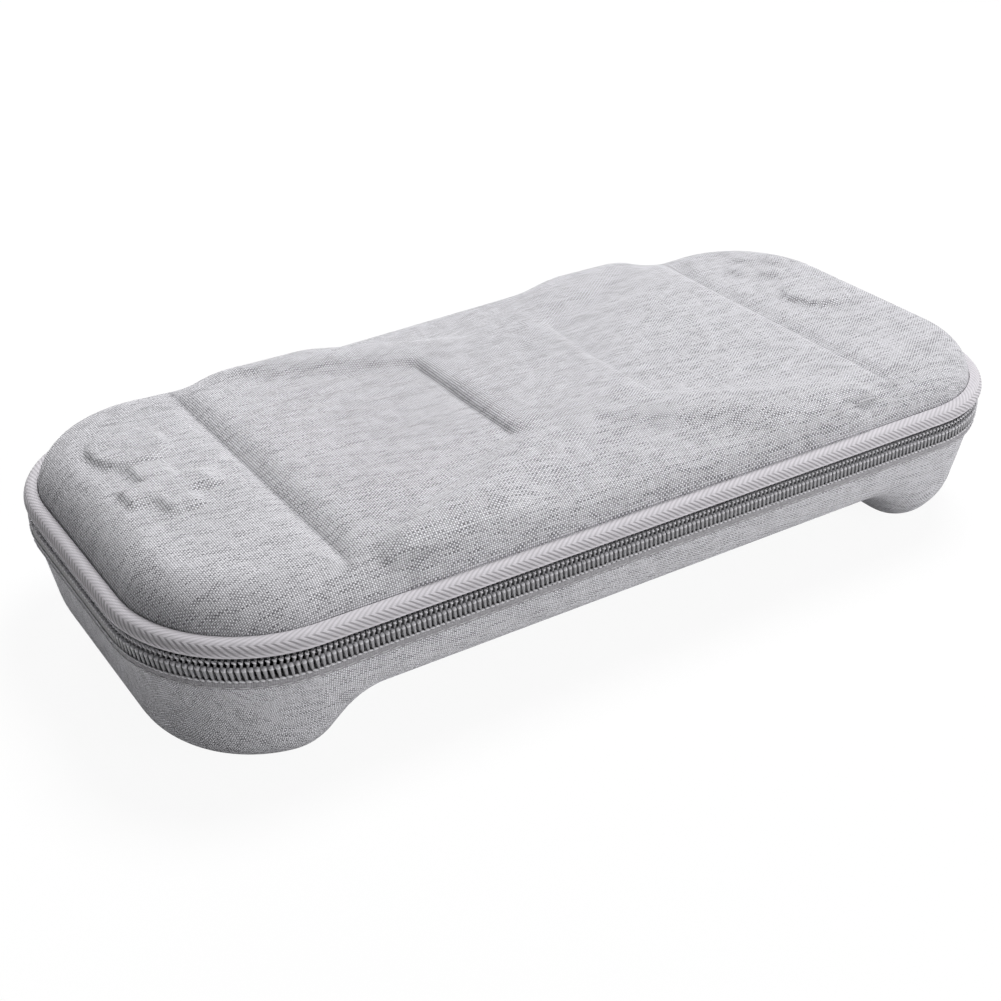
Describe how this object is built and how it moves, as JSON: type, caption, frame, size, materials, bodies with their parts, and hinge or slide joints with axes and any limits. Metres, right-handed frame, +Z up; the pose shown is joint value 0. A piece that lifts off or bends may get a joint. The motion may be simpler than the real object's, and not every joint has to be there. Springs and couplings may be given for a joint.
{
  "type": "portable game console case",
  "caption": "Form-fitted clamshell zip case in grey heathered cloth for a portable game console, with a moulded lid, deep grip wells, a coil zip and a cloth hinge",
  "frame": {"origin": "on the table, under the middle of the case's outline", "axes": "+X along the case to the end with the zip sliders, +Y to the hinge, +Z up out of the lid"},
  "size_m": [0.2765, 0.1256, 0.0545],
  "materials": {
    "grey_cloth": "light grey heathered plain weave over moulded foam",
    "bead_tape": "light grey herringbone tape, rolled",
    "lower_tape": "mid grey woven tape, stitched",
    "zip_nylon": "grey nylon coil, satin",
    "hinge_cloth": "grey woven cloth, doubled",
    "binding_ribbon": "dark ribbed ribbon",
    "slider_metal": "grey baked enamel on a zinc casting",
    "pull_metal": "grey baked enamel on pressed steel"
  },
  "bodies": {
    "base": {"base_shell": "grey_cloth", "base_tape": "lower_tape", "base_coil": "zip_nylon", "base_binding": "binding_ribbon", "hinge_strip": "hinge_cloth"},
    "lid": {"lid_shell": "grey_cloth", "lid_tape": "bead_tape", "lid_coil": "zip_nylon", "lid_binding": "binding_ribbon"},
    "front_slider": {"slider_front": "slider_metal"},
    "back_slider": {"slider_back": "slider_metal"},
    "front_pull": {"pull_front": "pull_metal"},
    "back_pull": {"pull_back": "pull_metal"}
  },
  "joints": [
    {"name": "lid_hinge", "type": "hinge", "parent": "base", "child": "lid", "pos_m": [0, 0.0629, 0.034], "axis": [-1, 0, 0], "range_deg": [0, 180], "deforming": ["hinge_strip"]},
    {"name": "front_slider_travel", "type": "slide", "parent": "base", "child": "front_slider", "axis": [0, -1, 0], "range_m": [0, 0.014]},
    {"name": "back_slider_travel", "type": "slide", "parent": "base", "child": "back_slider", "axis": [0, 1, 0], "range_m": [0, 0.014]},
    {"name": "front_pull_swing", "type": "hinge", "parent": "front_slider", "child": "front_pull", "pos_m": [0.139, -0.0062, 0.034], "axis": [0, -1, 0], "range_deg": [0, 175]},
    {"name": "back_pull_swing", "type": "hinge", "parent": "back_slider", "child": "back_pull", "pos_m": [0.139, 0.0062, 0.034], "axis": [0, -1, 0], "range_deg": [0, 175]}
  ]
}
